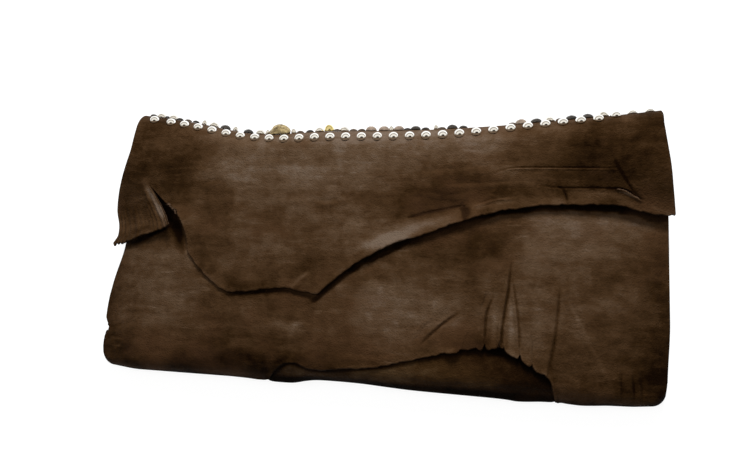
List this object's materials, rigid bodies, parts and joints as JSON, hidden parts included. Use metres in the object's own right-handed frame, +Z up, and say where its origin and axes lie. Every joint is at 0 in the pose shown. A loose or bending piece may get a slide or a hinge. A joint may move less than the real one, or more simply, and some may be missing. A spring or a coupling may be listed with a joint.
{
  "type": "clutch bag",
  "caption": "Wide fold-over clutch bag of raw-edged brown hide, with a ragged hinged flap over an open pouch and a studded, sagging top fold.",
  "frame": {"origin": "under the middle of the bag, on the surface that its back lies on", "axes": "+X along the fold to the right of the front face, +Y from the bottom edge to the studded fold, +Z up out of the front face"},
  "size_m": [0.3584, 0.1744, 0.0312],
  "materials": {
    "hide": "matte, mottled brown hide with creases and raw edges",
    "dark_hide": "matte dark brown hide",
    "silver": "bright polished dome studs",
    "brass": "worn, softly polished",
    "taupe_stone": "polished taupe stone",
    "dark_stone": "polished near-black stone"
  },
  "bodies": {
    "pouch": {"back_panel": "dark_hide", "front_panel": "hide", "stud_01": "silver", "stud_02": "silver", "stud_03": "silver", "stud_04": "silver", "stud_05": "silver", "stud_06": "silver", "stud_07": "silver", "stud_08": "silver", "stud_09": "silver", "stud_10": "silver", "stud_11": "silver", "stud_12": "silver", "stud_13": "silver", "stud_14": "silver", "stud_15": "silver", "stud_16": "silver", "stud_17": "silver", "stud_18": "silver", "stud_19": "silver", "stud_20": "silver", "stud_21": "silver", "stud_22": "silver", "stud_23": "silver", "stud_24": "silver", "stud_25": "silver", "stud_26": "silver", "stud_27": "silver", "stud_28": "silver", "stud_29": "silver", "stud_30": "silver", "stud_31": "silver", "stud_32": "silver", "silver_bead_01": "silver", "silver_bead_02": "silver", "silver_bead_03": "silver", "dark_stone_01": "dark_stone", "dark_stone_02": "dark_stone", "silver_bead_04": "silver", "brass_pebble_01": "brass", "silver_bead_05": "silver", "brass_disc_01": "brass", "silver_bead_06": "silver", "taupe_stone_01": "taupe_stone", "taupe_stone_02": "taupe_stone", "taupe_stone_03": "taupe_stone", "dark_stone_03": "dark_stone", "dark_stone_04": "dark_stone", "taupe_stone_04": "taupe_stone", "dark_stone_05": "dark_stone", "silver_bead_07": "silver", "dark_stone_06": "dark_stone", "dark_stone_07": "dark_stone", "silver_bead_08": "silver"},
    "flap": {"flap": "hide"}
  },
  "joints": [
    {"name": "flap_bend", "type": "hinge", "parent": "pouch", "child": "flap", "pos_m": [0, 0.0545, 0.03], "axis": [-1, 0, 0], "range_deg": [0, 165]}
  ]
}
